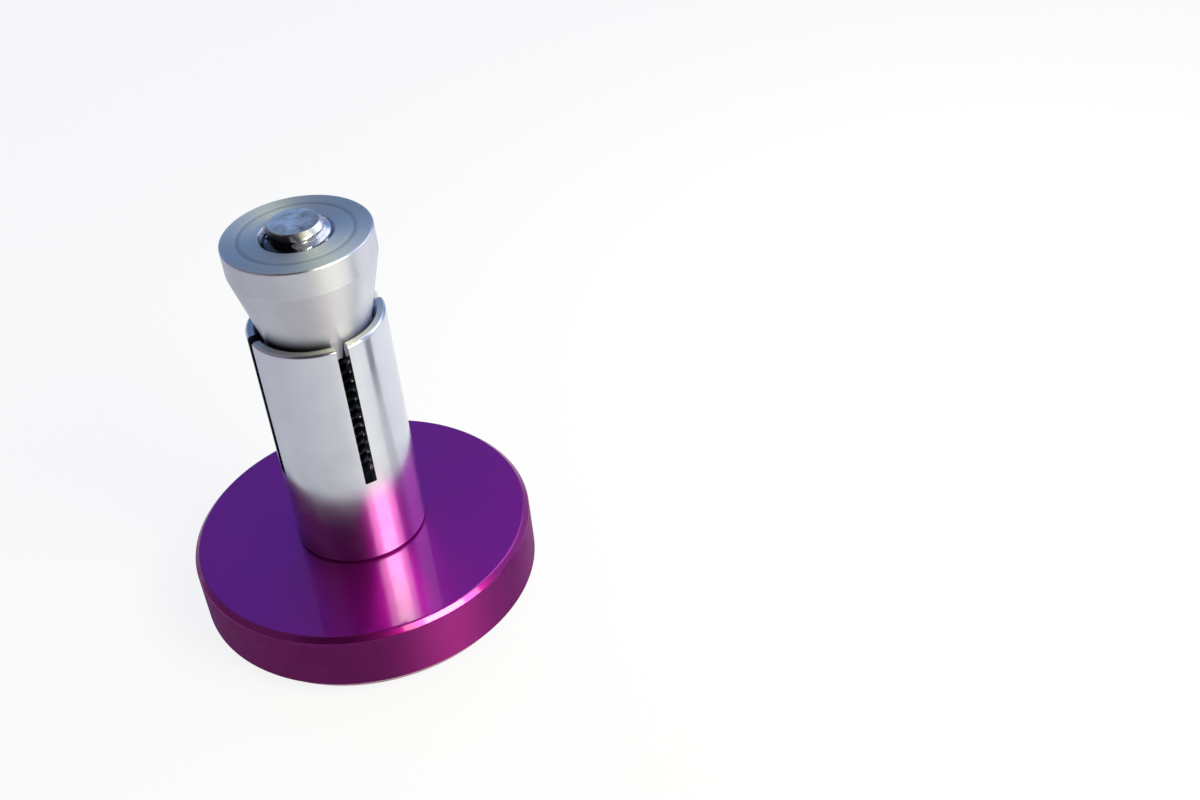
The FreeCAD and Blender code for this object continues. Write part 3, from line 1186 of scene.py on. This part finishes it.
# %% World
BACK_SKY = (0.24, 0.41, 0.79, 1)
FRONT_SKY = (0.32, 0.28, 0.29, 1)
FRONT_TURN = math.radians(-30)
FRONT_BAND = (-0.6, 0.2)
RIGHT_SKY = (0.78, 0.84, 0.95, 1)
RIGHT_TURN = math.radians(90)
RIGHT_BAND = (0.6, 0.95)
HORIZON = (1.0, 1.0, 1.0, 1)
HORIZON_BAND = (0.0, 0.1)
SHADE_TURN = math.radians(-22)
SHADE_ELEVATION = math.radians(45)
SHADE_BAND = (0.8, 0.95)
SHADE_LEVEL = 0.3
UP = (0, 0, 1)


def along(tree, direction, band, at_low=0.0, at_high=1.0):
    """Smooth change between two values as the world's direction nears the given one."""
    looked = add(tree, "ShaderNodeTexCoord").outputs["Generated"]
    near = add(tree, "ShaderNodeVectorMath", {"operation": "DOT_PRODUCT"}, i0=looked, i1=tuple(direction))
    return add(tree, "ShaderNodeMapRange", {"interpolation_type": "SMOOTHSTEP"}, i0=near.outputs["Value"],
               i1=band[0], i2=band[1], i3=at_low, i4=at_high).outputs[0]


def make_world():
    """Sky colours by direction over a white horizon, with one dark patch beside the camera."""
    world = bpy.data.worlds.new("room")
    world.use_nodes = True
    tree = world.node_tree
    tree.nodes.clear()
    sky = tinted(tree, along(tree, direction_of(FRONT_TURN, 0), FRONT_BAND), BACK_SKY, FRONT_SKY)
    sky = tinted(tree, along(tree, direction_of(RIGHT_TURN, 0), RIGHT_BAND), sky, RIGHT_SKY)
    sky = tinted(tree, along(tree, UP, HORIZON_BAND, 1.0, 0.0), sky, HORIZON)
    light = along(tree, direction_of(SHADE_TURN, SHADE_ELEVATION), SHADE_BAND, 1.0, SHADE_LEVEL)
    room = add(tree, "ShaderNodeBackground", Color=sky, Strength=light).outputs[0]
    tree.links.new(room, add(tree, "ShaderNodeOutputWorld").inputs["Surface"])
    bpy.context.scene.world = world
    print("world", world.name, "with", len(tree.nodes), "nodes")


make_world()
bpy.context.scene.view_settings.view_transform = "Standard"

# %% [markdown]
# ## Grey card
# A narrow grey card on the table stands in for a shadow there: a painted shadow that the metal mirrors as a
# soft grey line down its side, which shows how round it is. The card lies on the table and turns up at its
# far
# end. Only mirrored light meets it: it isn't in the picture, and it throws no shadow.

# %% Grey card
CARD_TURN = math.radians(73)
CARD_NEAR = 20.0 * MM
CARD_BEND = 40.0 * MM
CARD_RISE = 18.0 * MM
CARD_WIDTH = 9.0 * MM
CARD_LIFT = 0.1 * MM
# The card's grey is a painted shadow that only the metal mirrors.
CARD_COLOUR = (0.5, 0.5, 0.53, 1)


def make_card():
    """A bent strip on the table that shows in reflections only."""
    outward = direction_of(CARD_TURN, 0)
    sideways = outward.cross(Vector(UP)) * CARD_WIDTH / 2
    corners = []
    for reach, height in ((CARD_NEAR, CARD_LIFT), (CARD_BEND, CARD_LIFT), (CARD_BEND, CARD_RISE)):
        middle = outward * reach + Vector((0, 0, height))
        corners += [middle - sideways, middle + sideways]
    material, tree, shader = new_material("grey_card")
    fill(tree, shader, {"Base Color": CARD_COLOUR})
    card = stage_sheet("grey_card", corners, [(0, 1, 3, 2), (2, 3, 5, 4)], material)
    card.visible_camera = False
    card.visible_diffuse = False
    card.visible_shadow = False
    print(card.name, "stands", CARD_NEAR, "from the axis")


make_card()
